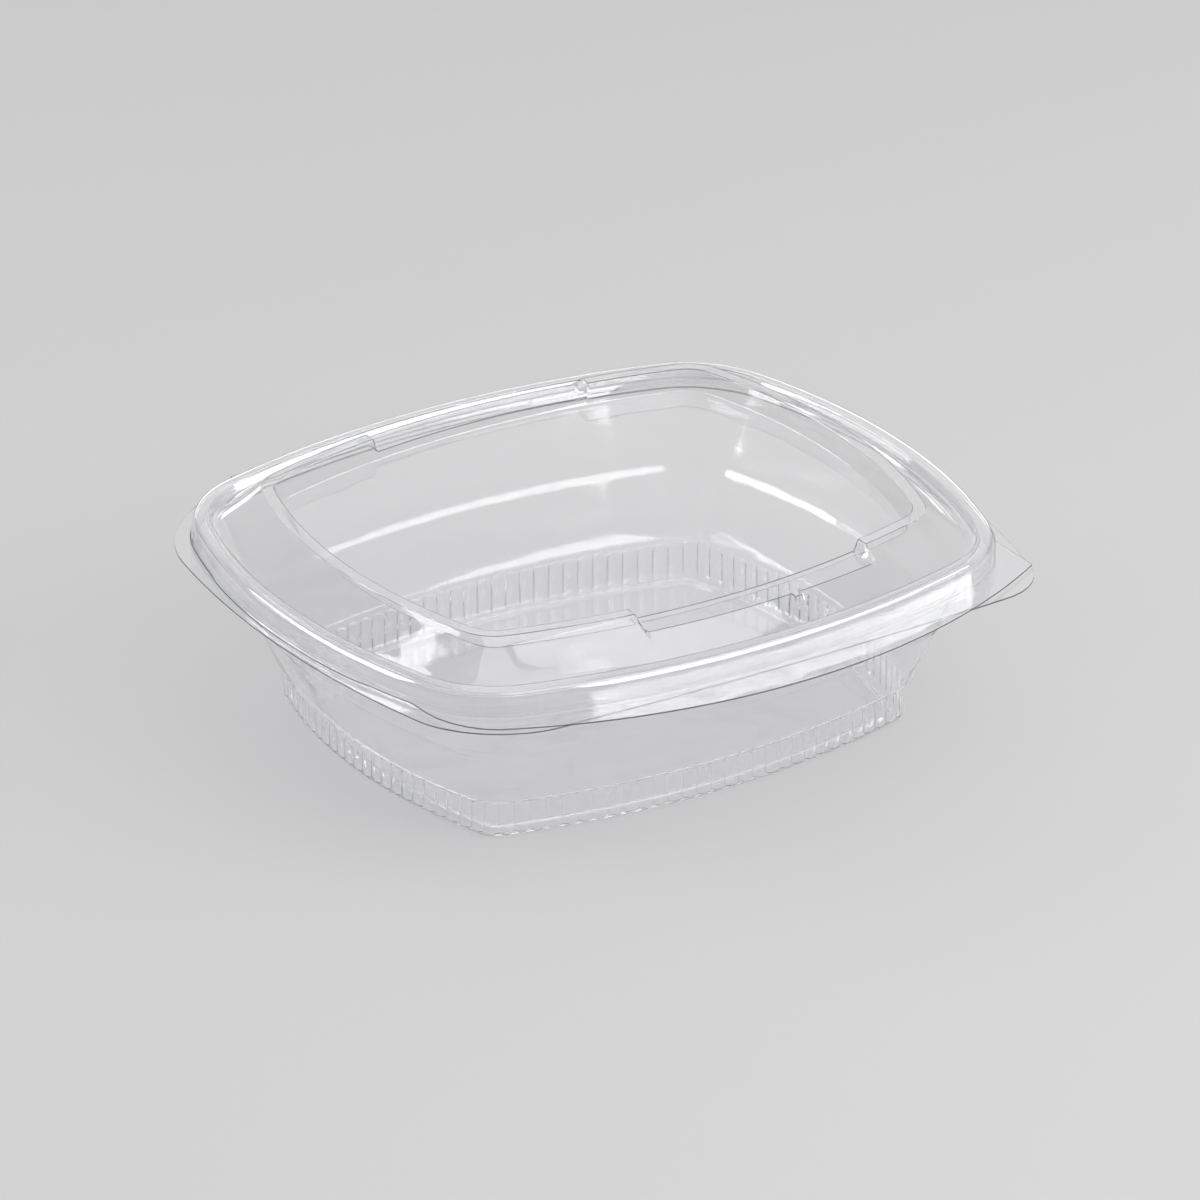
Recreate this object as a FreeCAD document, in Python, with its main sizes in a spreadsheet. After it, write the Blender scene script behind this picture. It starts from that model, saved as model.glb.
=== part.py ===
import FreeCAD, Part
import math
import os
import Sketcher

# Hinged-lid clear plastic food pack: a tub and its lid, thermoformed from one sheet and
# joined along the long back edge by a fold. Millimetres, +Z up, +X along the long side,
# -Y towards the front lip. The origin is the centre of the foot, on the table.

# Driving dimensions
SIZES = {
    "sheet_gauge": 0.4,
    # bead outline: the foot of the lid's rim bead, the line that every other ring follows
    "half_length": 94.0,
    "half_depth": 82.0,
    "long_bow": 234.0,
    "short_bow": 172.0,
    "corner_round": 30.0,
    # die-cut flange of the tub, with a tight corner at the front right to lift it by
    "flange_half_length": 96.0,
    "flange_half_depth": 83.0,
    "flange_long_bow": 1100.0,
    "flange_short_bow": 265.0,
    "flange_tab_round": 10.0,
    "flange_front_round": 20.0,
    "flange_back_round": 30.0,
    "flange_top": 44.4,
    # fold along the back edge
    "fold_half_width": 56.0,
    "fold_edge": 84.0,
    "fold_strip": 14.0,
    # tub
    "tub_bead_outer": 1.05,
    "tub_bead_top": 50.3,
    "tub_bead_inner": 3.9,
    "tub_wall_end": 21.4,
    "band_top": 10.4,
    "band_inset": 22.7,
    "band_round": 1.8,
    "round_step": 0.54,
    "round_flute": 0.45,
    "flute_count": 108.0,
    "flute_depth": 0.9,
    "rib_start": 26.0,
    "rib_rise": 26.7,
    "rib_fall": 28.0,
    "rib_end": 28.7,
    "rib_height": 1.0,
    # lid rim, from the cut edge over the bead to the groove and up the dome wall
    "trim_edge": 0.6,
    "trim_top": 45.2,
    "bead_lean": 0.25,
    "bead_side_top": 50.6,
    "bead_crown": 51.6,
    "bead_crown_start": 1.1,
    "bead_crown_end": 4.5,
    "groove_start": 5.5,
    "groove_end": 6.3,
    "groove_height": 49.6,
    # ridge round the lid's panel: raised ends and a lower middle on each long side
    "low_edge": 13.6,
    "low_top": 55.3,
    "high_edge": 17.8,
    "high_top": 58.7,
    "high_inner": 21.2,
    "low_inner": 22.0,
    "panel_edge": 22.8,
    "panel_lap": 23.6,
    "panel_top": 53.2,
    "front_step_left": 27.0,
    "front_step_right": 42.0,
    "back_step_left": 28.0,
    "back_step_right": 35.0,
    "lug_place": 15.2,
    "lug_width": 2.6,
    "lug_front": 70.3,
    "lug_back": 66.8,
    "lug_foot": 53.2,
    # front lip of the lid
    "lip_reach": 93.4,
    "lip_bow": 170.0,
    "lip_left": 86.0,
    "lip_right": 86.9,
    "lip_side_start": 46.0,
    "lip_left_round": 11.0,
    # height that every cutting column and block passes
    "column_height": 80.0,
}

# Arcs in every outline that a section is swept round
OUTLINE_ARCS = 9
# How far an edge may lie from a plane and still count as in it
TOUCH = 0.01

doc = FreeCAD.newDocument("food_pack")
sheet = doc.addObject("Spreadsheet::Sheet", "Sizes")
for row, (alias, value) in enumerate(SIZES.items(), start=1):
    sheet.set("A%d" % row, alias)
    sheet.set("B%d" % row, str(value))
    sheet.setAlias("B%d" % row, alias)
doc.recompute()


def total(terms):
    """Number that a sum of named sizes such as "half_depth - low_edge" stands for."""
    result, sign = 0.0, 1.0
    for word in terms.split():
        if word in "+-":
            sign = 1.0 if word == "+" else -1.0
        else:
            result += sign * getattr(sheet, word)
    return result


def formula(terms):
    """The same sum as an expression that reads the sheet."""
    return " ".join(word if word in "+-" else "Sizes." + word for word in terms.split())


def bind(item, prop, terms):
    item.setExpression(prop, formula(terms))


def arc(centre, radius, start, end):
    circle = Part.Circle(FreeCAD.Vector(centre[0], centre[1], 0), FreeCAD.Vector(0, 0, 1), radius)
    return Part.ArcOfCircle(circle, start, end)


def outline_arcs(length, depth, long_bow, short_bow, corner):
    """Arcs of a bowed rounded rectangle, counter-clockwise from the middle of the back."""
    back = (0.0, depth - long_bow)
    right = (length - short_bow, 0.0)
    reach_back = long_bow - corner
    reach_right = short_bow - corner
    span = math.hypot(right[0] - back[0], right[1] - back[1])
    along = (span ** 2 + reach_back ** 2 - reach_right ** 2) / (2 * span)
    aside = math.sqrt(reach_back ** 2 - along ** 2)
    step = ((right[0] - back[0]) / span, (right[1] - back[1]) / span)
    centre = (back[0] + along * step[0] + aside * step[1], back[1] + along * step[1] - aside * step[0])
    long_end = math.atan2(centre[1] - back[1], centre[0] - back[0])
    short_end = math.atan2(centre[1] - right[1], centre[0] - right[0])
    quarter, half = math.pi / 2, math.pi
    left_centre = (-centre[0], centre[1])
    return [
        (back, long_bow, quarter, half - long_end),
        (left_centre, corner, half - long_end, half - short_end),
        ((-right[0], 0.0), short_bow, half - short_end, half + short_end),
        ((-centre[0], -centre[1]), corner, half + short_end, half + long_end),
        ((0.0, -back[1]), long_bow, half + long_end, 2 * half - long_end),
        ((centre[0], -centre[1]), corner, -long_end, -short_end),
        (right, short_bow, -short_end, short_end),
        (centre, corner, short_end, long_end),
        (back, long_bow, long_end, quarter),
    ]


def outline_sketch(name, length, depth, long_bow, short_bow, corner):
    """Closed outline in a level plane, its radii and half sizes bound to the sheet."""
    sketch = doc.addObject("Sketcher::SketchObject", name)
    names = (length, depth, long_bow, short_bow, corner)
    arcs = outline_arcs(*[total(word) for word in names])
    for centre, radius, start, end in arcs:
        sketch.addGeometry(arc(centre, radius, start, end))
    radii = [long_bow, corner, short_bow, corner, long_bow, corner, short_bow, corner, long_bow]
    for index, word in enumerate(radii):
        radius = sketch.addConstraint(Sketcher.Constraint("Radius", index, total(word)))
        bind(sketch, "Constraints[%d]" % radius, word)
    for index in (0, 8):
        sketch.addConstraint(Sketcher.Constraint("PointOnObject", index, 3, -2))
        drop = sketch.addConstraint(
            Sketcher.Constraint("DistanceY", index, 3, -1, 1, total(long_bow + " - " + depth)))
        bind(sketch, "Constraints[%d]" % drop, long_bow + " - " + depth)
    sketch.addConstraint(Sketcher.Constraint("PointOnObject", 4, 3, -2))
    rise = sketch.addConstraint(
        Sketcher.Constraint("DistanceY", -1, 1, 4, 3, total(long_bow + " - " + depth)))
    bind(sketch, "Constraints[%d]" % rise, long_bow + " - " + depth)
    for index, first, second in ((2, (-1, 1), (2, 3)), (6, (6, 3), (-1, 1))):
        sketch.addConstraint(Sketcher.Constraint("PointOnObject", index, 3, -1))
        side = sketch.addConstraint(
            Sketcher.Constraint("DistanceX", *first, *second, total(short_bow + " - " + length)))
        bind(sketch, "Constraints[%d]" % side, short_bow + " - " + length)
    for index in range(OUTLINE_ARCS - 1):
        sketch.addConstraint(Sketcher.Constraint("Tangent", index, 2, index + 1, 1))
    sketch.addConstraint(Sketcher.Constraint("PointOnObject", 0, 1, -2))
    sketch.addConstraint(Sketcher.Constraint("PointOnObject", 8, 2, -2))
    return sketch


def section_sketch(name, corners):
    """Closed section in the YZ plane at the middle of the back. Each corner is
    (inset from the bead outline, height) as sums of named sizes."""
    sketch = doc.addObject("Sketcher::SketchObject", name)
    sketch.Placement = FreeCAD.Placement(
        FreeCAD.Vector(0, 0, 0), FreeCAD.Rotation(FreeCAD.Vector(1, 1, 1), 120))
    places = [(flip("half_depth", inset), height) for inset, height in corners]
    points = [FreeCAD.Vector(total(across), total(height), 0) for across, height in places]
    for index, point in enumerate(points):
        sketch.addGeometry(Part.LineSegment(point, points[(index + 1) % len(points)]))
    for index, (across, height) in enumerate(places):
        sketch.addConstraint(Sketcher.Constraint(
            "Coincident", index, 2, (index + 1) % len(points), 1))
        for kind, terms in (("DistanceX", across), ("DistanceY", height)):
            number = sketch.addConstraint(
                Sketcher.Constraint(kind, -1, 1, index, 1, total(terms)))
            bind(sketch, "Constraints[%d]" % number, terms)
    return sketch


def flip(base, inset):
    """base minus a sum of sizes, with each sign turned. An empty sum takes nothing off."""
    words = inset.split()
    if words and words[0] not in "+-":
        words.insert(0, "+")
    turned = ["-" if word == "+" else "+" if word == "-" else word for word in words]
    return " ".join([base] + turned)


def gauge_strip(upper):
    """Both faces of the sheet: upper corners (inset, height, side) and, one gauge lower,
    the same corners moved one gauge inwards (+) or outwards (-)."""
    top = [(inset, height) for inset, height, side in upper]
    under = [
        (inset + " " + side + " sheet_gauge" if side else inset, height + " - sheet_gauge")
        for inset, height, side in upper]
    return top + under[::-1]


def sweep(name, section, path):
    item = doc.addObject("Part::Sweep", name)
    item.Sections = [section]
    item.Spine = (path, ["Edge%d" % (index + 1) for index in range(OUTLINE_ARCS)])
    item.Solid = True
    item.Frenet = False
    return item


def prism(name, base, length="column_height"):
    item = doc.addObject("Part::Extrusion", name)
    item.Base = base
    item.DirMode = "Custom"
    item.Dir = FreeCAD.Vector(0, 0, 1)
    item.Solid = True
    bind(item, "LengthFwd", length)
    return item


def offset_outline(name, path, inset):
    item = doc.addObject("Part::Offset2D", name)
    item.Source = path
    item.Fill = False
    item.setExpression("Value", "-(" + formula(inset) + ")")
    return item


def block(name, length, width, height, x, y, z):
    """Box whose sizes and low corner are sums of named sizes."""
    item = doc.addObject("Part::Box", name)
    for prop, terms in (("Length", length), ("Width", width), ("Height", height)):
        bind(item, prop, terms)
    for axis, terms in (("x", x), ("y", y), ("z", z)):
        if terms:
            bind(item, "Placement.Base." + axis, terms)
    return item


def combine(kind, name, *items):
    """Boolean of two or more objects: MultiFuse, MultiCommon or Cut."""
    item = doc.addObject("Part::" + kind, name)
    if kind == "Cut":
        item.Base, item.Tool = items
    else:
        item.Shapes = list(items)
    return item


def ring_points(inset, height, depth=0.0):
    """Points round the outline at an inset: two for each flute, every second one set in."""
    arcs = outline_arcs(
        total("half_length") - inset, total("half_depth") - inset, total("long_bow") - inset,
        total("short_bow") - inset, total("corner_round") - inset)
    lengths = [radius * (end - start) for centre, radius, start, end in arcs]
    count = 2 * int(total("flute_count"))
    points = []
    for index in range(count):
        along = sum(lengths) * index / count
        number = 0
        while along > lengths[number]:
            along -= lengths[number]
            number += 1
        centre, radius, start, end = arcs[number]
        angle = start + along / radius
        reach = radius - (depth if index % 2 else 0.0)
        points.append(FreeCAD.Vector(
            centre[0] + reach * math.cos(angle), centre[1] + reach * math.sin(angle), height))
    return points


def ring_loft(levels):
    """Ruled solid through fluted rings given as (inset, height, flute depth)."""
    rings = []
    for inset, height, depth in levels:
        points = ring_points(inset, height, depth)
        rings.append(Part.makePolygon(points + points[:1]))
    return Part.makeLoft(rings, True, True)


def plate(name, outline, bottom):
    """Level sheet inside an outline, its underside at a height."""
    column = prism(name + "_column", outline)
    slab = block(name + "_slab", "half_length + half_length", "half_depth + half_depth",
                 "sheet_gauge", "- half_length", "- half_depth", bottom)
    return combine("MultiCommon", name, column, slab)


# Outlines that everything follows
bead_outline = outline_sketch(
    "bead_outline", "half_length", "half_depth", "long_bow", "short_bow", "corner_round")
rim_opening = prism("rim_opening", offset_outline("opening_outline", bead_outline, "sheet_gauge"))
rim_inside = prism("rim_inside", offset_outline("inside_outline", bead_outline, "tub_bead_outer"))

# Tub: bead, drafted wall and the ledge over the foot band
tub_section = section_sketch("tub_section", gauge_strip([
    ("tub_bead_outer - sheet_gauge", "flange_top", ""),
    ("tub_bead_outer", "flange_top", "+"),
    ("tub_bead_outer", "tub_bead_top", "+"),
    ("tub_bead_inner", "tub_bead_top", "-"),
    ("tub_wall_end", "band_top", "-"),
    ("band_inset + flute_depth + sheet_gauge", "band_top", ""),
]))
tub_wall = sweep("tub_wall", tub_section, bead_outline)

flange_parts = []
for name, corner, length, width, x, y in (
        ("tab", "flange_tab_round", "flange_half_length", "flange_half_depth",
         "", "- flange_half_depth"),
        ("front", "flange_front_round", "flange_half_length", "flange_half_depth",
         "- flange_half_length", "- flange_half_depth"),
        ("back", "flange_back_round", "flange_half_length + flange_half_length",
         "flange_half_depth", "- flange_half_length", "")):
    column = prism("flange_column_" + name, outline_sketch(
        "flange_outline_" + name, "flange_half_length", "flange_half_depth", "flange_long_bow",
        "flange_short_bow", corner))
    slab = block("flange_slab_" + name, length, width, "sheet_gauge", x, y,
                 "flange_top - sheet_gauge")
    flange_parts.append(combine("MultiCommon", "flange_" + name, column, slab))
tub_flange_blank = combine(
    "MultiFuse", "tub_flange_blank", *flange_parts,
    block("tub_fold_strip", "fold_half_width + fold_half_width", "fold_strip", "sheet_gauge",
          "- fold_half_width", "fold_edge - fold_strip", "flange_top - sheet_gauge"))
tub_flange = combine("Cut", "tub_flange", tub_flange_blank, rim_inside)

# Foot band: upright flutes over a rounded edge, and the floor with a low rib round it
gauge = total("sheet_gauge")
band_inset = total("band_inset")
band_top = total("band_top")
band_round = total("band_round")
round_step = total("round_step")
round_flute = total("round_flute")
depth = total("flute_depth")
outer = ring_loft([
    (band_inset + band_round, 0.0, 0.0),
    (band_inset + round_step, round_step, round_flute),
    (band_inset, band_round, depth),
    (band_inset, band_top, depth),
])
inner = ring_loft([
    (band_inset + band_round + gauge, gauge, 0.0),
    (band_inset + round_step + gauge, round_step + gauge, round_flute),
    (band_inset + gauge, band_round + gauge, depth),
    (band_inset + gauge, band_top + gauge, depth),
])
foot_band = doc.addObject("Part::Feature", "foot_band")
foot_band.Shape = outer.cut(inner)
floor_opening = prism("floor_opening", offset_outline("floor_outline", bead_outline, "rib_start"))
foot_shell = combine("Cut", "foot_shell", foot_band, floor_opening)
floor_rib = sweep("floor_rib", section_sketch("floor_rib_section", gauge_strip([
    ("rib_start - sheet_gauge", "sheet_gauge", ""),
    ("rib_start", "sheet_gauge", "+"),
    ("rib_rise", "rib_height + sheet_gauge", "+"),
    ("rib_fall", "rib_height + sheet_gauge", "-"),
    ("rib_end", "sheet_gauge", "-"),
    ("rib_end + sheet_gauge", "sheet_gauge", ""),
])), bead_outline)
floor_middle = plate(
    "floor_middle", offset_outline("floor_middle_outline", bead_outline, "rib_end"), "")
base_tub = combine(
    "MultiFuse", "base_tub", tub_wall, tub_flange, foot_shell, floor_rib, floor_middle)

# Lid: cut edge, bead, groove and dome wall, swept as one strip of sheet
lid_rim = sweep("lid_rim", section_sketch("lid_rim_section", gauge_strip([
    ("- trim_edge", "trim_top", ""),
    ("", "trim_top", "+"),
    ("bead_lean", "bead_side_top", "+"),
    ("bead_crown_start", "bead_crown", "+"),
    ("bead_crown_end", "bead_crown", "-"),
    ("groove_start", "groove_height", "-"),
    ("groove_end", "groove_height", "+"),
    ("low_edge", "low_top", "+"),
])), bead_outline)

# Ridge round the panel: raised at both ends, lower along the middle of each long side
ridge_raised = sweep("ridge_raised", section_sketch("ridge_raised_section", gauge_strip([
    ("low_edge", "low_top", "+"),
    ("high_edge", "high_top", "+"),
    ("high_inner", "high_top", "-"),
    ("panel_edge", "panel_top", "-"),
    ("panel_lap", "panel_top", ""),
])), bead_outline)
ridge_low = sweep("ridge_low", section_sketch("ridge_low_section", gauge_strip([
    ("low_edge", "low_top", "+"),
    ("low_inner", "low_top", "-"),
    ("panel_edge", "panel_top", "-"),
    ("panel_lap", "panel_top", ""),
])), bead_outline)
ridge_core = sweep("ridge_core", section_sketch("ridge_core_section", [
    ("low_edge + sheet_gauge", "low_top - sheet_gauge"),
    ("low_edge", "low_top"),
    ("high_edge", "high_top"),
    ("high_inner", "high_top"),
    ("low_inner", "low_top"),
    ("low_inner", "low_top - sheet_gauge"),
]), bead_outline)
middles = combine(
    "MultiFuse", "middles",
    block("front_middle", "front_step_left + front_step_right", "half_depth", "column_height",
          "- front_step_left", "- half_depth", ""),
    block("back_middle", "back_step_left + back_step_right", "half_depth", "column_height",
          "- back_step_left", "", ""))
ridge_ends = combine("Cut", "ridge_ends", ridge_raised, middles)
ridge_middles = combine("MultiCommon", "ridge_middles", ridge_low, middles)
caps = []
for side, step, low_corner in (
        ("front_left", "- front_step_left - sheet_gauge", "- half_depth"),
        ("front_right", "front_step_right", "- half_depth"),
        ("back_left", "- back_step_left - sheet_gauge", ""),
        ("back_right", "back_step_right", "")):
    slab = block("cap_slab_" + side, "sheet_gauge", "half_depth", "column_height", step, low_corner, "")
    caps.append(combine("MultiCommon", "ridge_cap_" + side, ridge_core, slab))
panel = plate(
    "panel", offset_outline("panel_outline", bead_outline, "panel_edge"),
    "panel_top - sheet_gauge")
lug = block("front_lug", "lug_width", "lug_front - lug_back", "low_top - lug_foot",
            "lug_place", "- lug_front", "lug_foot")

# Cut edge of the lid: the front lip with a pointed right corner, and the strip to the fold
lip_circle = doc.addObject("Part::Cylinder", "lip_circle")
bind(lip_circle, "Radius", "lip_bow")
bind(lip_circle, "Height", "sheet_gauge")
bind(lip_circle, "Placement.Base.y", "lip_bow - lip_reach")
bind(lip_circle, "Placement.Base.z", "trim_top - sheet_gauge")
lip_square = combine(
    "MultiCommon", "lip_square", lip_circle,
    block("lip_block", "lip_left + lip_right", "lip_reach - lip_side_start", "sheet_gauge",
          "- lip_left", "- lip_reach", "trim_top - sheet_gauge"))
doc.recompute()
corners = [
    (edge.BoundBox.YMin, index) for index, edge in enumerate(lip_square.Shape.Edges, start=1)
    if edge.BoundBox.XMax < -total("lip_left") + TOUCH and edge.BoundBox.YLength < TOUCH]
lip = doc.addObject("Part::Fillet", "lip")
lip.Base = lip_square
lip.Edges = [(min(corners)[1], total("lip_left_round"), total("lip_left_round"))]
lid_edge = combine(
    "Cut", "lid_edge",
    combine("MultiFuse", "lid_edge_blank", lip, block(
        "lid_fold_strip", "fold_half_width + fold_half_width", "fold_strip", "sheet_gauge",
        "- fold_half_width", "fold_edge - fold_strip", "trim_top - sheet_gauge")),
    rim_opening)
lid = combine(
    "MultiFuse", "lid", lid_rim, ridge_ends, ridge_middles, panel, lug, lid_edge, *caps)

doc.recompute()
os.makedirs("parts", exist_ok=True)
failed = [item.Name for item in doc.Objects if {"Invalid", "Error"} & set(item.State)]
if failed:
    raise RuntimeError("not recomputed: " + ", ".join(failed))
for node in (base_tub, lid):
    if node.Shape.isNull() or not node.Shape.isValid():
        raise RuntimeError("bad shape: " + node.Label)
    print(node.Label, len(node.Shape.Solids), round(node.Shape.Volume), node.Shape.BoundBox)
    node.Shape.exportStep("parts/%s.step" % node.Label)
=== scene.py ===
import functools
import math

import bmesh
import bpy
from bpy.props import FloatProperty, FloatVectorProperty, IntProperty, PointerProperty
from mathutils import Matrix, Vector


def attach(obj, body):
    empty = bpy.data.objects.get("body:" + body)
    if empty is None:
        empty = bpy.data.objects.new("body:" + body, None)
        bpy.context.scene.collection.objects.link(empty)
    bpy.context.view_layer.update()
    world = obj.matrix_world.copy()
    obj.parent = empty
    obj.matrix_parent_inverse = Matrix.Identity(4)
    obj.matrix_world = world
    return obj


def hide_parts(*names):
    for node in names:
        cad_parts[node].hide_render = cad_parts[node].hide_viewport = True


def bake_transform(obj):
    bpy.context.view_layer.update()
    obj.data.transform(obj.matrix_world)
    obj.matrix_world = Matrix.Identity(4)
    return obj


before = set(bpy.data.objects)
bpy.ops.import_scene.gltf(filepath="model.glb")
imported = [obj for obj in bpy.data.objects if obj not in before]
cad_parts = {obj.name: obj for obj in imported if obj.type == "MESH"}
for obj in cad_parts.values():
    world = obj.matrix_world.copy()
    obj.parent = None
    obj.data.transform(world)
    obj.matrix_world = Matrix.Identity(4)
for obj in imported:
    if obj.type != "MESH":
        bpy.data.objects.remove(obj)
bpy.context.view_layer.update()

bl_info = {
    "name": "Clear hinged food pack",
    "version": (1, 0, 0),
    "blender": (4, 5, 0),
    "location": "View3D > Sidebar > Food Pack",
    "description": "Clear thermoformed tub and hinged lid with a fluted foot",
    "category": "Object",
}

# Shapes are worked out in millimetres and turned to metres when a piece is finished
MM = 0.001

# Steps in a rounded corner of a section, which up to a tight radius is a plain chamfer
ROUND_STEPS = 3
TIGHT_ROUND = 0.3

# How far apart two points may be and still count as one, and how far from a height, a ring or
# an arc's centre a point may lie and still count as on it
SEAM = 0.002
AT_HEIGHT = 0.01
AT_RING = 0.1
AT_CENTRE = 0.5

# The cut line is looked for between these distances out from the rim, by so many halvings
NEAREST_CUT = 0.05
FARTHEST_CUT = 30.0
HALVINGS = 24

# Edges that turn more than this are drawn sharp
SHARP_TURN = math.radians(32)

# Bead outline, the line round the rim that every other ring follows
HALF_LENGTH = 94.0
HALF_DEPTH = 82.0
LONG_BOW = 234.0
SHORT_BOW = 172.0
CORNER_ROUND = 30.0

# Tub: flange (half length, half depth, long bow, short bow), wall, foot band, floor and flutes
FLANGE_TOP = 44.4
FLANGE_SHAPE = (96.0, 83.0, 1100.0, 265.0)
FLANGE_TAB_ROUND = 10.0
FLANGE_FRONT_ROUND = 20.0
FLANGE_BACK_ROUND = 30.0
BAND_TOP = 10.4
BAND_INSET = 23.1
FLOOR_TOP = 0.4
FLUTE_END_INSET = 25.6
FLUTE_FOOT = (0.5, 2.0)
FLUTE_FADE = 1.0

# Arcs that are corners, and how the flutes fade on the wall above the band there: the height
# past the band where they begin to, where they end at the corner's sides, and how much
# higher they end in its middle
CORNER_ARCS = (1, 3, 5, 7)
CORNER_FLUTE_TOP = 28.0
CORNER_FADE_START = 1.5
CORNER_FADE_END = 1.6
CORNER_FADE_RISE = 16.0

# Section of the tub as corners (inset, height, radius), and its longest row of faces
TUB_ROW = 4.0
TUB_PROFILE = [
    (1.05, FLANGE_TOP, 0.0), (1.05, 50.3, 0.7), (3.9, 50.3, 0.7), (12.93, 29.7, 2.5),
    (13.43, 28.0, 2.5), (14.43, 26.3, 2.5), (21.4, BAND_TOP, 0.9), (BAND_INSET, BAND_TOP, 0.9),
    (BAND_INSET, FLOOR_TOP, 1.7), (26.0, FLOOR_TOP, 0.3), (26.7, 1.4, 0.3), (28.0, 1.4, 0.3),
    (28.7, FLOOR_TOP, 0.3), (29.1, FLOOR_TOP, 0.0)]

# Lid: cut edge, bead, groove, dome wall, ridge and panel
TRIM_EDGE = 0.6
TRIM_TOP = 45.2
PANEL_TOP = 53.2
LOW_TOP = 55.3
LID_ROW = 3.0
LID_PROFILE = [
    (0.0, TRIM_TOP, 0.0), (0.0, 49.4, 3.0), (1.2, 51.6, 1.5), (4.5, 51.6, 0.5),
    (5.5, 49.6, 0.4), (6.3, 49.6, 0.9), (11.4, 53.58, 0.0), (11.7, 53.82, 0.0),
    (13.6, LOW_TOP, 0.0), (17.8, 58.7, 0.4), (21.2, 58.7, 0.4), (22.8, PANEL_TOP, 0.4),
    (24.2, PANEL_TOP, 0.0)]

# Where the ridge steps down and up again along the front (-1) and the back (1), the columns of
# each step's slope, and the sides, insets and slope of the lug
RIDGE_STEPS = {-1: (-27.0, 42.0), 1: (-28.0, 35.0)}
STEP_SLOPE = (-0.7, -0.3, 0.3, 0.7)
LUG_SIDES = (15.2, 17.8)
LUG_INSETS = (11.6, 14.0)
LUG_SLOPE = 0.25
LUG_MARGIN = 0.2

# New columns are cut through faces this near to them, and snap to points this near
COLUMN_REACH = 3.0
COLUMN_SNAP = 0.02

# Slight upward curl that the cutting knife leaves along the cut edge: its width and its rise
CUT_CURL = 0.5
CUT_RISE = 0.07

# Front lip of the lid and the strip to the fold
LIP_CENTRE = Vector((0.0, 76.6))
LIP_BOW = 170.0
LIP_LEFT = -86.0
LIP_RIGHT = 86.9
LIP_LEFT_ROUND = 11.0
LIP_BACK = -46.0
LIP_POINT = Vector((LIP_RIGHT, LIP_CENTRE.y - math.sqrt(LIP_BOW ** 2 - LIP_RIGHT ** 2)))
FOLD_HALF_WIDTH = 56.0
FOLD_EDGE = 84.0
FOLD_AXIS = Vector((0.0, 84.15, 44.6))
FOLD_MARGIN = 0.3
FOLD_LAP = 0.1
FOLD_RADIUS = 0.38
FOLD_STEPS = 12
FOLD_GAUGE = 0.00012
FOLD_CORNERS = [Vector((-FOLD_HALF_WIDTH, FOLD_EDGE)), Vector((FOLD_HALF_WIDTH, FOLD_EDGE))]

# Ripple that the mould leaves in the sheet: waves to a metre, detail, strength and depth
RIPPLE_SCALE = 45.0
RIPPLE_DETAIL = 1.5
RIPPLE_STRENGTH = 0.3
RIPPLE_DEPTH = 0.001
SHEET_IOR = 1.57

# Share of the floor's and the lamps' light that passes one face of the sheet when another surface
# is lit through it, and the painted shade on the sheet's cut edge: a dark grey for its dark line
PASSED_LIGHT = (0.95, 0.95, 0.955, 1.0)
# Dark grey painted on the cut edge as painted shade, standing in for the dark line the edge shows
CUT_EDGE_PAINTED_SHADE = (0.16, 0.16, 0.165, 1.0)

# Floor, in metres: half its side, how far it lies under the foot, and where it fades into the
# pale backdrop
FLOOR_HALF_SIDE = 12.0
FLOOR_DROP = 0.0001
FLOOR_FADE = (0.8, 2.5)
BACKDROP = (0.63, 0.63, 0.63, 1.0)

# Dome: the direction of its bright window, and its grey by nearness to that direction
WINDOW = (0.487, 0.756, 0.437)
DOME_GREYS = ((0.0, 0.32), (0.72, 0.36), (0.9, 0.68), (0.95, 0.76))
DOME_BLUE = 1.01

# Soft lamps: name, place and size in metres, and power in watts
LAMPS = [
    ("front_box", (0.30, -0.91, 1.46), (1.6, 0.8), 6.5),
    ("right_box", (0.945, -1.126, 0.955), (1.9, 0.56), 19.0),
    ("top_box", (0.0, 0.0, 2.2), (1.4, 1.4), 7.0),
    ("back_strip", (0.9, 1.7, 0.33), (2.0, 0.25), 3.0),
    ("left_strip", (-1.278, 1.073, 0.674), (1.2, 0.4), 12.0),
    ("left_box", (-0.70, 0.875, 1.33), (0.22, 0.16), 0.35)]
LAMP_TARGET = Vector((0.0, 0.0, 0.03))

# Camera: the way it looks from, in degrees, its distance from the aim in metres, and its lens
CAMERA_AZIMUTH = math.radians(-32.764)
CAMERA_ELEVATION = math.radians(25.941)
CAMERA_DISTANCE = 3.315
CAMERA_AIM = Vector((0.00189, -0.00042, 0.02937))
CAMERA_LENS = 392.45
CAMERA_SENSOR = 36.0

# Most turns of a ray in all and through the sheet, by mirroring, and straight through
MOST_BOUNCES = 16
GLOSSY_BOUNCES = 6
CLEAR_BOUNCES = 32


class PackSizes(bpy.types.PropertyGroup):
    """Sizes that a user would change."""

    gauge: FloatProperty(
        name="Sheet gauge", description="Thickness of the formed sheet",
        default=0.00036, min=0.0001, unit="LENGTH")
    flute_depth: FloatProperty(
        name="Flute depth", description="How far each flute of the foot band is set in",
        default=0.0009, min=0.0, unit="LENGTH")
    flute_count: IntProperty(
        name="Flutes", description="Flutes round the foot band", default=108, min=12)
    flute_steps: IntProperty(
        name="Steps per flute", description="Mesh columns in one flute", default=8, min=2)
    lid_columns: IntProperty(
        name="Lid columns", description="Mesh columns round the lid", default=560, min=60)


class PackColours(bpy.types.PropertyGroup):
    """Colours and finish of the sheet and the ground."""

    sheet: FloatVectorProperty(
        name="Sheet", description="Colour of light passing through the sheet",
        default=(0.985, 0.985, 0.99), size=3, subtype="COLOR", min=0.0, max=1.0)
    roughness: FloatProperty(
        name="Sheet roughness", description="How soft the reflections are",
        default=0.03, min=0.0, max=1.0)
    ground: FloatVectorProperty(
        name="Ground", description="Colour of the floor",
        default=(0.59, 0.59, 0.59), size=3, subtype="COLOR", min=0.0, max=1.0)


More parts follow.
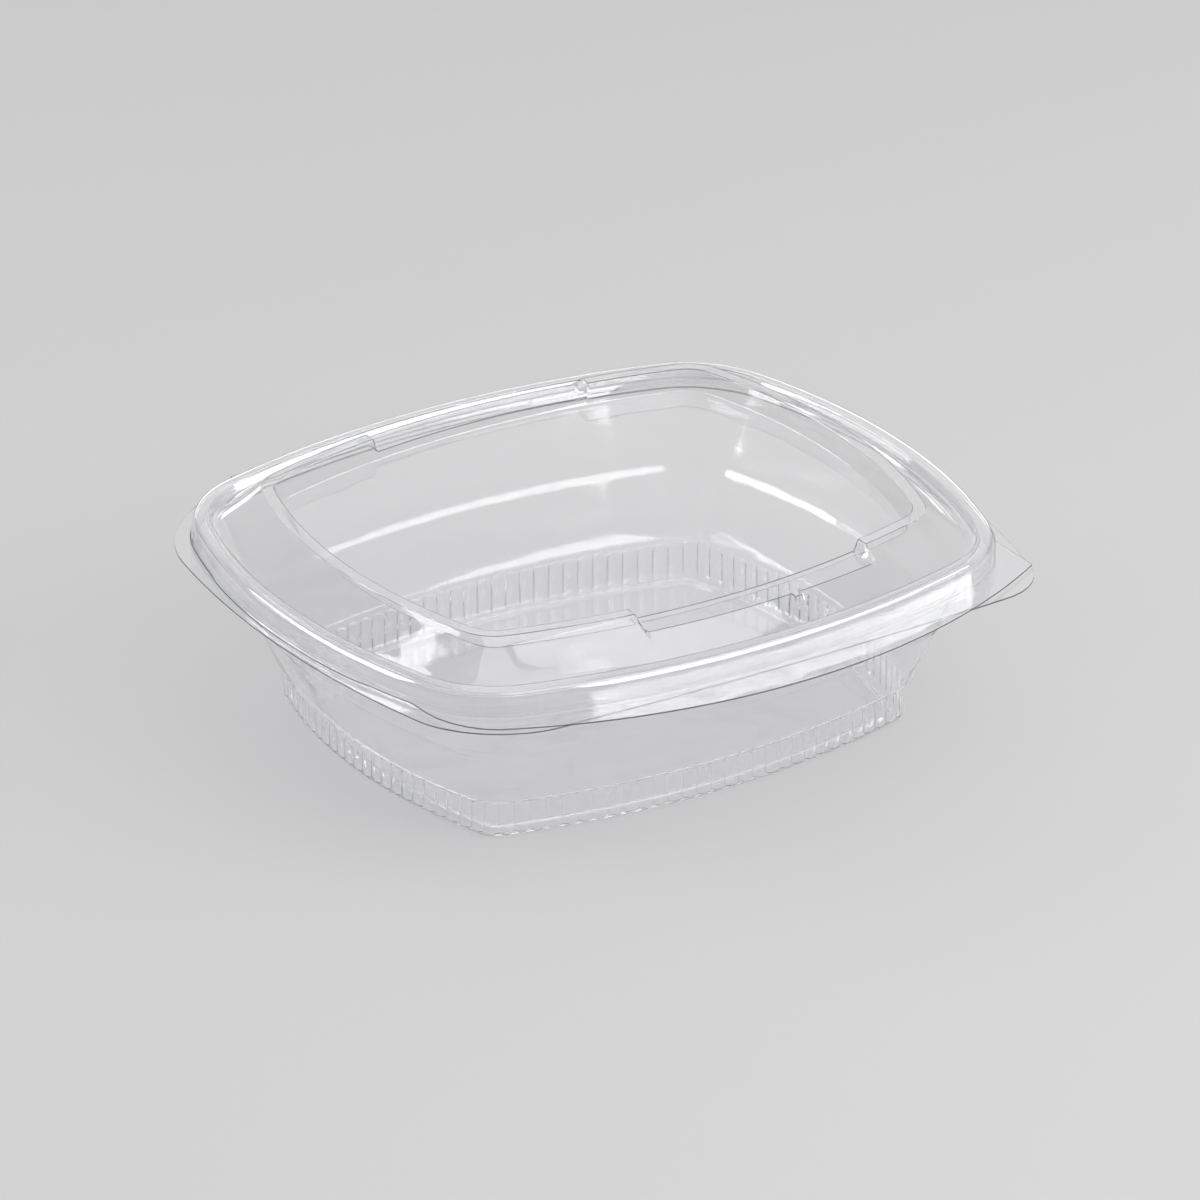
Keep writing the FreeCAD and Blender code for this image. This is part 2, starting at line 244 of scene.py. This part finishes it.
@functools.lru_cache(maxsize=64)
def outline_arcs(inset=0.0):
    """Arcs (centre, radius, start, end) of the outline at an inset, counter-clockwise
    from the middle of the back."""
    long_bow, short_bow, corner = LONG_BOW - inset, SHORT_BOW - inset, CORNER_ROUND - inset
    back = Vector((0.0, HALF_DEPTH - LONG_BOW))
    right = Vector((HALF_LENGTH - SHORT_BOW, 0.0))
    step = right - back
    span = step.length
    step.normalize()
    reach_back, reach_right = LONG_BOW - CORNER_ROUND, SHORT_BOW - CORNER_ROUND
    along = (span ** 2 + reach_back ** 2 - reach_right ** 2) / (2 * span)
    aside = math.sqrt(reach_back ** 2 - along ** 2)
    centre = back + along * step + aside * Vector((step.y, -step.x))
    long_end = math.atan2(centre.y - back.y, centre.x - back.x)
    short_end = math.atan2(centre.y - right.y, centre.x - right.x)
    quarter, half = math.pi / 2, math.pi
    return [
        (back, long_bow, quarter, half - long_end),
        (Vector((-centre.x, centre.y)), corner, half - long_end, half - short_end),
        (-right, short_bow, half - short_end, half + short_end),
        (-centre, corner, half + short_end, half + long_end),
        (-back, long_bow, half + long_end, 2 * half - long_end),
        (Vector((centre.x, -centre.y)), corner, -long_end, -short_end),
        (right, short_bow, -short_end, short_end),
        (centre, corner, short_end, long_end),
        (back, long_bow, long_end, quarter),
    ]


def placed(point):
    """(arc number, angle on it, inset from the outline) of a point on a skin."""
    flat = point.xy
    best = None
    for number, (centre, radius, start, end) in enumerate(outline_arcs()):
        spoke = flat - centre
        inset = radius - spoke.length
        if inset > CORNER_ROUND - AT_CENTRE:
            continue
        middle = (start + end) / 2
        off = (math.atan2(spoke.y, spoke.x) - middle + math.pi) % (2 * math.pi) - math.pi
        over = max(0.0, abs(off) - (end - start) / 2)
        if best is None or over < best[0]:
            best = (over, number, middle + off, inset)
    return best[1:]


def flute_phase(number, angle, count):
    """Turns of the flute wave from the middle of the back to an angle on an arc."""
    arcs = outline_arcs(BAND_INSET)
    lengths = [radius * (end - start) for centre, radius, start, end in arcs]
    along = sum(lengths[:number]) + arcs[number][1] * (angle - arcs[number][2])
    return count * along / sum(lengths)


def smooth(low, high, value):
    """Share from 0 at the low value to 1 at the high one, level at both ends."""
    share = min(1.0, max(0.0, (value - low) / (high - low)))
    return share * share * (3.0 - 2.0 * share)


def rounded(corners):
    """Profile points with each corner (inset, height, radius) turned into an arc."""
    points = []
    for index, (inset, height, radius) in enumerate(corners):
        steps = ROUND_STEPS if radius > TIGHT_ROUND else 1
        here = Vector((inset, height))
        if radius == 0.0:
            points.append(here)
            continue
        into = (here - Vector(corners[index - 1][:2])).normalized()
        out = (Vector(corners[index + 1][:2]) - here).normalized()
        turn = into.angle_signed(out)
        start = here - into * radius * math.tan(abs(turn) / 2)
        side = into.orthogonal() if turn < 0 else -into.orthogonal()
        pivot = start + side * radius
        for number in range(steps + 1):
            spoke = start - pivot
            spoke.rotate(Matrix.Rotation(-turn * number / steps, 2))
            points.append(pivot + spoke)
    return points


def divided(profile, longest):
    """Profile with its long straight stretches divided."""
    points = [profile[0]]
    for point in profile[1:]:
        before = points[-1]
        parts = math.ceil((point - before).length / longest)
        points += [before.lerp(point, number / parts) for number in range(1, parts + 1)]
    return points


def quarter_skin(profile, columns):
    """Quarter of a skin: the profile is spun round the outline's first arcs in turn,
    from the middle of the back to the middle of the left side."""
    mesh = bmesh.new()
    points = [mesh.verts.new((0.0, HALF_DEPTH - point.x, point.y)) for point in profile]
    geometry = points + [mesh.edges.new(pair) for pair in zip(points, points[1:])]
    back, corner, left = outline_arcs(BAND_INSET)[:3]
    arcs = [back, corner, (*left[:3], math.pi)]
    whole = sum(radius * (end - start) for centre, radius, start, end in arcs)
    for centre, radius, start, end in arcs:
        turned = bmesh.ops.spin(
            mesh, geom=geometry, cent=centre.to_3d(), axis=(0.0, 0.0, 1.0), angle=end - start,
            steps=round(columns / 4 * radius * (end - start) / whole), use_duplicate=False)
        geometry = turned["geom_last"]
    return mesh


def whole_skin(mesh):
    """Mirrors a quarter to the front and to the right, with its seams merged."""
    for axis in "YX":
        bmesh.ops.mirror(
            mesh, geom=mesh.verts[:] + mesh.edges[:] + mesh.faces[:], matrix=Matrix.Identity(4),
            merge_dist=SEAM, axis=axis)
    bmesh.ops.remove_doubles(mesh, verts=mesh.verts, dist=SEAM)


def bowed_distance(point, half_length, half_depth, long_bow, short_bow, corner):
    """Signed distance to a bowed rounded rectangle, below zero inside it."""
    x, y = abs(point.x), abs(point.y)
    over_long = math.hypot(x, y + long_bow - half_depth) - long_bow + corner
    over_short = math.hypot(x + short_bow - half_length, y) - short_bow + corner
    outside = math.hypot(max(over_long, 0.0), max(over_short, 0.0))
    return outside + min(max(over_long, over_short), 0.0) - corner


def strip_distance(point):
    """Signed distance to the strip that runs back to the fold."""
    return max(abs(point.x) - FOLD_HALF_WIDTH, point.y - FOLD_EDGE, -point.y)


def lip_distance(point):
    """Signed distance to the front lip: a long arc, a rounded left end, a pointed right one."""
    over_arc = (point - LIP_CENTRE).length - LIP_BOW + LIP_LEFT_ROUND
    over_left = LIP_LEFT - point.x + LIP_LEFT_ROUND
    outside = math.hypot(max(over_arc, 0.0), max(over_left, 0.0))
    left_end = outside + min(max(over_arc, over_left), 0.0) - LIP_LEFT_ROUND
    return max(left_end, point.x - LIP_RIGHT, point.y - LIP_BACK)


def tub_cut(point):
    """Signed distance to the tub's flange: each corner has its own rounding."""
    corner = FLANGE_TAB_ROUND if point.x > 0 else FLANGE_FRONT_ROUND
    if point.y > 0:
        corner = FLANGE_BACK_ROUND
    return min(bowed_distance(point, *FLANGE_SHAPE, corner), strip_distance(point))


def lid_cut(point):
    """Signed distance to the lid's cut edge: trim, front lip and strip to the fold."""
    bead = (HALF_LENGTH, HALF_DEPTH, LONG_BOW, SHORT_BOW, CORNER_ROUND)
    trim = [size + TRIM_EDGE for size in bead]
    return min(bowed_distance(point, *trim), lip_distance(point), strip_distance(point))


def spread_flange(mesh, height, cut, corners):
    """Extrudes the outermost ring out to the cut line, which the knife has curled up a
    little, and puts the points nearest to the given corners on them."""
    painted_shade_cut_layer = mesh.verts.layers.int.new("cut")
    rim = [edge for edge in mesh.edges
           if edge.is_boundary
           and all(abs(vert.co.z - height) < AT_HEIGHT for vert in edge.verts)]
    reach = {}
    for vert in {vert for edge in rim for vert in edge.verts}:
        angle = placed(vert.co)[1]
        outward = Vector((math.cos(angle), math.sin(angle), 0.0))
        near, far = NEAREST_CUT, FARTHEST_CUT
        for halving in range(HALVINGS):
            middle = (near + far) / 2
            if cut((vert.co + outward * middle).xy) < 0.0:
                near = middle
            else:
                far = middle
        reach[tuple(vert.co.xy)] = (vert.co.copy(), outward, near)
    for curl in (CUT_CURL, 0.0):
        grown = bmesh.ops.extrude_edge_only(mesh, edges=rim)["geom"]
        rim = [item for item in grown if isinstance(item, bmesh.types.BMEdge) and item.is_boundary]
        verts = [item for item in grown if isinstance(item, bmesh.types.BMVert)]
        moved = {}
        for vert in verts:
            start, outward, near = reach[tuple(vert.co.xy)]
            vert.co = start + outward * max(near - curl, near / 2)
            moved[tuple(vert.co.xy)] = (start, outward, near)
        reach = moved
    # Marks the vertices of the cut edge, whose faces get the cut edge's painted shade
    for vert in verts:
        vert.co.z += CUT_RISE
        vert[painted_shade_cut_layer] = 1
    for corner in corners:
        nearest = min(verts, key=lambda vert: (vert.co.xy - corner).length)
        nearest.co.xy = corner


def close_middle(mesh, inset):
    """Fills the hole inside the innermost ring."""
    ring = [edge for edge in mesh.edges
            if edge.is_boundary
            and all(placed(vert.co)[2] > inset - AT_RING for vert in edge.verts)]
    bmesh.ops.contextual_create(mesh, geom=ring)


def finished_piece(name, mesh, gauge):
    """Gives a skin its thickness, turns it to metres and dresses it."""
    bmesh.ops.solidify(mesh, geom=mesh.faces[:], thickness=gauge / MM)
    cut = mesh.verts.layers.int.get("cut")
    if mesh.calc_volume(signed=True) < 0:
        bmesh.ops.reverse_faces(mesh, faces=mesh.faces)
    for face in mesh.faces:
        face.smooth = True
        # Faces wholly on the cut edge take the second material, the cut edge's painted shade
        face.material_index = int(cut is not None and all(vert[cut] for vert in face.verts))
    for edge in mesh.edges:
        edge.smooth = not edge.is_manifold or edge.calc_face_angle() < SHARP_TURN
    bmesh.ops.transform(mesh, matrix=Matrix.Scale(MM, 4), verts=mesh.verts)
    data = bpy.data.meshes.new(name)
    mesh.to_mesh(data)
    mesh.free()
    data.materials.append(clear_sheet())
    data.materials.append(cut_edge())
    piece = bpy.data.objects.new(name, data)
    bpy.context.collection.objects.link(piece)
    return piece


def face_up(mesh, height):
    """Turns an open skin so that its level middle faces up."""
    bmesh.ops.recalc_face_normals(mesh, faces=mesh.faces)
    middle = Vector((0.0, 0.0, height))
    panel = min(mesh.faces, key=lambda face: (face.calc_center_median() - middle).length)
    if panel.normal.z < 0:
        bmesh.ops.reverse_faces(mesh, faces=mesh.faces)


def clear_sheet():
    """Clear formed polyester: thin, glossy, a little hazy and faintly wavy from the mould."""
    found = bpy.data.materials.get("clear_sheet_look")
    if found:
        return found
    colours = bpy.context.scene.pack_colours
    material = bpy.data.materials.new("clear_sheet_look")
    material.use_nodes = True
    nodes, links = material.node_tree.nodes, material.node_tree.links
    shader = nodes["Principled BSDF"]
    shader.inputs["Base Color"].default_value = (*colours.sheet, 1.0)
    shader.inputs["Roughness"].default_value = colours.roughness
    shader.inputs["IOR"].default_value = SHEET_IOR
    shader.inputs["Transmission Weight"].default_value = 0.97
    place = nodes.new("ShaderNodeTexCoord")
    waves = nodes.new("ShaderNodeTexNoise")
    waves.inputs["Scale"].default_value = RIPPLE_SCALE
    waves.inputs["Detail"].default_value = RIPPLE_DETAIL
    bump = nodes.new("ShaderNodeBump")
    bump.inputs["Strength"].default_value = RIPPLE_STRENGTH
    bump.inputs["Distance"].default_value = RIPPLE_DEPTH
    links.new(place.outputs["Object"], waves.inputs["Vector"])
    links.new(waves.outputs["Fac"], bump.inputs["Height"])
    links.new(bump.outputs["Normal"], shader.inputs["Normal"])
    passing = nodes.new("ShaderNodeBsdfTransparent")
    passing.inputs["Color"].default_value = PASSED_LIGHT
    rays = nodes.new("ShaderNodeLightPath")
    mix = nodes.new("ShaderNodeMixShader")
    soft = nodes.new("ShaderNodeMath")
    soft.operation = "MAXIMUM"
    links.new(rays.outputs["Is Shadow Ray"], soft.inputs[0])
    links.new(rays.outputs["Is Diffuse Ray"], soft.inputs[1])
    links.new(soft.outputs["Value"], mix.inputs["Fac"])
    links.new(shader.outputs["BSDF"], mix.inputs[1])
    links.new(passing.outputs["BSDF"], mix.inputs[2])
    links.new(mix.outputs["Shader"], nodes["Material Output"].inputs["Surface"])
    return material


def cut_edge():
    """Knife-cut edge of the sheet: rough and duller than its faces, and painted dark grey as
    painted shade for the dark line along it.
    """
    found = bpy.data.materials.get("cut_edge_painted_shade")
    if found:
        return found
    material = bpy.data.materials.new("cut_edge_painted_shade")
    material.use_nodes = True
    shader = material.node_tree.nodes["Principled BSDF"]
    # Painted shade: this dark grey base colour stands in for the dark line that the edge shows
    shader.inputs["Base Color"].default_value = CUT_EDGE_PAINTED_SHADE
    shader.inputs["Roughness"].default_value = 0.45
    shader.inputs["IOR"].default_value = SHEET_IOR
    shader.inputs["Transmission Weight"].default_value = 0.4
    return material


class PACK_OT_tub(bpy.types.Operator):
    """Makes the tub: cut flange, bead, drafted wall, fluted foot band and floor"""

    bl_idname = "pack.tub"
    bl_label = "Tub"

    def execute(self, context):
        sizes = context.scene.pack_sizes
        profile = divided(rounded(TUB_PROFILE), TUB_ROW)
        mesh = quarter_skin(profile, sizes.flute_count * sizes.flute_steps)
        for vert in mesh.verts:
            number, angle, inset = placed(vert.co)
            if vert.co.z > CORNER_FLUTE_TOP or inset > FLUTE_END_INSET:
                continue
            wave = 1.0 - abs(math.cos(math.pi * flute_phase(number, angle, sizes.flute_count)))
            share = max(self.band_share(vert.co.z), self.corner_share(number, angle, vert.co.z))
            move = sizes.flute_depth / MM * wave * share
            vert.co.xy -= Vector((math.cos(angle), math.sin(angle))) * move
        whole_skin(mesh)
        spread_flange(mesh, FLANGE_TOP, tub_cut, FOLD_CORNERS)
        close_middle(mesh, TUB_PROFILE[-1][0])
        face_up(mesh, FLOOR_TOP)
        piece = finished_piece("tub_shell", mesh, sizes.gauge)
        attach(piece, "tub")
        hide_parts("base_tub")
        return {"FINISHED"}

    @staticmethod
    def band_share(height):
        """How deep a flute is at a height of the foot band, from 0 to 1."""
        faded = smooth(BAND_TOP - FLUTE_FADE, BAND_TOP, height)
        return smooth(*FLUTE_FOOT, height) * (1.0 - faded)

    @staticmethod
    def corner_share(number, angle, height):
        """How deep a flute still is where it runs on up the wall of a corner."""
        if number not in CORNER_ARCS or height < BAND_TOP - FLUTE_FADE:
            return 0.0
        start, end = outline_arcs()[number][2:]
        across = math.sin(math.pi * min(1.0, max(0.0, (angle - start) / (end - start))))
        end_height = BAND_TOP + CORNER_FADE_END + CORNER_FADE_RISE * across
        return math.sqrt(across) * (1.0 - smooth(BAND_TOP + CORNER_FADE_START, end_height, height))


class PACK_OT_lid(bpy.types.Operator):
    """Makes the lid: bead, groove, dome wall, stepped ridge, panel and front lip"""

    bl_idname = "pack.lid"
    bl_label = "Lid"

    def execute(self, context):
        sizes = context.scene.pack_sizes
        mesh = quarter_skin(divided(rounded(LID_PROFILE), LID_ROW), sizes.lid_columns)
        whole_skin(mesh)
        for side, steps in RIDGE_STEPS.items():
            for step in steps:
                self.cut_across(mesh, side, [step + slope for slope in STEP_SLOPE])
            self.lower_middle(mesh, side, *steps)
        self.raise_lug(mesh)
        spread_flange(mesh, TRIM_TOP, lid_cut, FOLD_CORNERS + [LIP_POINT])
        close_middle(mesh, LID_PROFILE[-1][0])
        face_up(mesh, PANEL_TOP)
        piece = finished_piece("lid_shell", mesh, sizes.gauge)
        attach(piece, "lid")
        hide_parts("lid")
        return {"FINISHED"}

    @staticmethod
    def cut_across(mesh, side, places):
        """Cuts new columns across the front (side -1) or the back (side 1)."""
        for x in places:
            middles = [(face, face.calc_center_median()) for face in mesh.faces]
            faces = [face for face, middle in middles
                     if middle.y * side > 0 and abs(middle.x - x) < COLUMN_REACH]
            edges = {edge for face in faces for edge in face.edges}
            verts = {vert for face in faces for vert in face.verts}
            bmesh.ops.bisect_plane(
                mesh, geom=faces + list(edges) + list(verts), dist=COLUMN_SNAP,
                plane_co=(x, 0.0, 0.0), plane_no=(1.0, 0.0, 0.0))

    @staticmethod
    def lower_middle(mesh, side, left, right):
        """Brings the raised ridge down to its low height along the middle of a long side."""
        slope = STEP_SLOPE[-1]
        for vert in mesh.verts:
            if vert.co.y * side < 0 or vert.co.z <= LOW_TOP:
                continue
            share = (smooth(left - slope, left + slope, vert.co.x)
                     * (1.0 - smooth(right - slope, right + slope, vert.co.x)))
            vert.co.z += share * (LOW_TOP - vert.co.z)

    def raise_lug(self, mesh):
        """Small snap lug that stands out of the low ridge at the front."""
        left, right = LUG_SIDES
        columns = [place + slope for place in LUG_SIDES for slope in (-LUG_SLOPE, LUG_SLOPE)]
        self.cut_across(mesh, -1, columns)
        for vert in mesh.verts:
            if vert.co.y < 0 and left - LUG_MARGIN < vert.co.x < right + LUG_MARGIN:
                inset = placed(vert.co)[2]
                if LUG_INSETS[0] < inset < LUG_INSETS[1]:
                    vert.co.z = LOW_TOP


class PACK_OT_fold(bpy.types.Operator):
    """Makes the fold that joins the tub's flange to the lid's along the back edge"""

    bl_idname = "pack.fold"
    bl_label = "Fold"

    def execute(self, context):
        mesh = bmesh.new()
        half_width = FOLD_HALF_WIDTH - FOLD_MARGIN
        low, high = FOLD_AXIS.z - FOLD_RADIUS, FOLD_AXIS.z + FOLD_RADIUS
        start = mesh.verts.new((-half_width, FOLD_EDGE - FOLD_LAP, low))
        bend = mesh.verts.new((-half_width, FOLD_AXIS.y, low))
        turned = bmesh.ops.spin(
            mesh, geom=[bend], cent=FOLD_AXIS, axis=(1.0, 0.0, 0.0), angle=math.pi,
            steps=FOLD_STEPS)
        last = next(item for item in turned["geom_last"] if isinstance(item, bmesh.types.BMVert))
        end = mesh.verts.new((-half_width, FOLD_EDGE - FOLD_LAP, high))
        mesh.edges.new((start, bend))
        mesh.edges.new((last, end))
        made = bmesh.ops.extrude_edge_only(mesh, edges=mesh.edges[:])["geom"]
        moved = [item for item in made if isinstance(item, bmesh.types.BMVert)]
        bmesh.ops.translate(mesh, vec=(2 * half_width, 0.0, 0.0), verts=moved)
        bmesh.ops.recalc_face_normals(mesh, faces=mesh.faces)
        piece = finished_piece("back_fold", mesh, FOLD_GAUGE)
        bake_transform(piece)
        return {"FINISHED"}


def linked(name, data):
    """New object with the given data, put in the scene."""
    item = bpy.data.objects.new(name, data)
    bpy.context.collection.objects.link(item)
    return item


def soft_box(name, place, size, power):
    """Rectangular soft lamp at a place in metres, turned to the pack."""
    lamp = bpy.data.lights.new(name, "AREA")
    lamp.shape = "RECTANGLE"
    lamp.size, lamp.size_y = size
    lamp.energy = power
    holder = linked(name, lamp)
    holder.location = place
    holder.rotation_euler = (LAMP_TARGET - Vector(place)).to_track_quat("-Z", "Y").to_euler()


class PACK_OT_studio(bpy.types.Operator):
    """Makes the pale floor, the world, the soft lamps and the camera"""

    bl_idname = "pack.studio"
    bl_label = "Studio"

    def execute(self, context):
        self.make_floor(context.scene.pack_colours.ground)
        self.make_world(context.scene)
        for lamp in LAMPS:
            soft_box(*lamp)
        self.make_camera(context.scene)
        context.scene.view_settings.view_transform = "Standard"
        context.scene.cycles.max_bounces = MOST_BOUNCES
        context.scene.cycles.transmission_bounces = MOST_BOUNCES
        context.scene.cycles.glossy_bounces = GLOSSY_BOUNCES
        context.scene.cycles.transparent_max_bounces = CLEAR_BOUNCES
        return {"FINISHED"}

    @staticmethod
    def make_floor(colour):
        """Pale floor that fades to the backdrop's colour far out, but scatters light as a floor."""
        mesh = bmesh.new()
        bmesh.ops.create_grid(mesh, x_segments=1, y_segments=1, size=FLOOR_HALF_SIDE)
        data = bpy.data.meshes.new("floor")
        mesh.to_mesh(data)
        mesh.free()
        floor = linked("floor", data)
        floor.location.z = -FLOOR_DROP
        material = bpy.data.materials.new("pale_floor")
        material.use_nodes = True
        nodes, links = material.node_tree.nodes, material.node_tree.links
        shader = nodes["Principled BSDF"]
        shader.inputs["Base Color"].default_value = (*colour, 1.0)
        shader.inputs["Roughness"].default_value = 0.9
        shader.inputs["Specular IOR Level"].default_value = 0.1
        place = nodes.new("ShaderNodeTexCoord")
        reach = nodes.new("ShaderNodeVectorMath")
        reach.operation = "LENGTH"
        far = nodes.new("ShaderNodeMapRange")
        far.interpolation_type = "SMOOTHSTEP"
        far.inputs["From Min"].default_value = FLOOR_FADE[0]
        far.inputs["From Max"].default_value = FLOOR_FADE[1]
        rays = nodes.new("ShaderNodeLightPath")
        seen = nodes.new("ShaderNodeMath")
        seen.operation = "SUBTRACT"
        seen.use_clamp = True
        pale = nodes.new("ShaderNodeEmission")
        pale.inputs["Color"].default_value = BACKDROP
        mix = nodes.new("ShaderNodeMixShader")
        links.new(place.outputs["Object"], reach.inputs[0])
        links.new(reach.outputs["Value"], far.inputs["Value"])
        links.new(far.outputs["Result"], seen.inputs[0])
        links.new(rays.outputs["Is Diffuse Ray"], seen.inputs[1])
        links.new(seen.outputs["Value"], mix.inputs["Fac"])
        links.new(shader.outputs["BSDF"], mix.inputs[1])
        links.new(pale.outputs["Emission"], mix.inputs[2])
        links.new(mix.outputs["Shader"], nodes["Material Output"].inputs["Surface"])
        data.materials.append(material)

    @staticmethod
    def make_world(scene):
        """Grey dome with a pale window where the level sheet is mirrored to the camera."""
        scene.world = bpy.data.worlds.new("studio_world")
        scene.world.use_nodes = True
        nodes, links = scene.world.node_tree.nodes, scene.world.node_tree.links
        place = nodes.new("ShaderNodeTexCoord")
        nearness = nodes.new("ShaderNodeVectorMath")
        nearness.operation = "DOT_PRODUCT"
        nearness.inputs[1].default_value = WINDOW
        ramp = nodes.new("ShaderNodeValToRGB")
        stops = ramp.color_ramp.elements
        for position, grey in DOME_GREYS:
            stop = stops[0] if position == 0.0 else stops.new(position)
            stop.color = (grey, grey, grey * DOME_BLUE, 1.0)
        stops.remove(stops[-1])
        links.new(place.outputs["Generated"], nearness.inputs[0])
        links.new(nearness.outputs["Value"], ramp.inputs["Fac"])
        links.new(ramp.outputs["Color"], nodes["Background"].inputs["Color"])

    @staticmethod
    def make_camera(scene):
        """Long lens above the front left corner, turned to the middle of the pack."""
        level = math.cos(CAMERA_ELEVATION)
        back = Vector((
            math.sin(CAMERA_AZIMUTH) * level, -math.cos(CAMERA_AZIMUTH) * level,
            math.sin(CAMERA_ELEVATION)))
        camera = bpy.data.cameras.new("camera")
        camera.sensor_width = CAMERA_SENSOR
        camera.lens = CAMERA_LENS
        holder = linked("camera", camera)
        holder.location = CAMERA_AIM + back * CAMERA_DISTANCE
        holder.rotation_euler = (-back).to_track_quat("-Z", "Y").to_euler()
        scene.camera = holder


class PACK_PT_panel(bpy.types.Panel):
    """Sidebar panel with the pack's sizes and makers"""

    bl_idname = "PACK_PT_panel"
    bl_label = "Food Pack"
    bl_space_type = "VIEW_3D"
    bl_region_type = "UI"
    bl_category = "Food Pack"

    def draw(self, context):
        for name in PackSizes.__annotations__:
            self.layout.prop(context.scene.pack_sizes, name)
        for name in PackColours.__annotations__:
            self.layout.prop(context.scene.pack_colours, name)
        for maker in MAKERS:
            self.layout.operator(maker.bl_idname)


MAKERS = (PACK_OT_tub, PACK_OT_lid, PACK_OT_fold, PACK_OT_studio)
CLASSES = (PackSizes, PackColours, *MAKERS, PACK_PT_panel)


def register():
    for item in CLASSES:
        bpy.utils.register_class(item)
    bpy.types.Scene.pack_sizes = PointerProperty(type=PackSizes)
    bpy.types.Scene.pack_colours = PointerProperty(type=PackColours)


def unregister():
    del bpy.types.Scene.pack_colours
    del bpy.types.Scene.pack_sizes
    for item in reversed(CLASSES):
        bpy.utils.unregister_class(item)


def main():
    register()
    bpy.ops.pack.tub()
    bpy.ops.pack.lid()
    bpy.ops.pack.fold()
    bpy.ops.pack.studio()


if __name__ == "__main__":
    main()
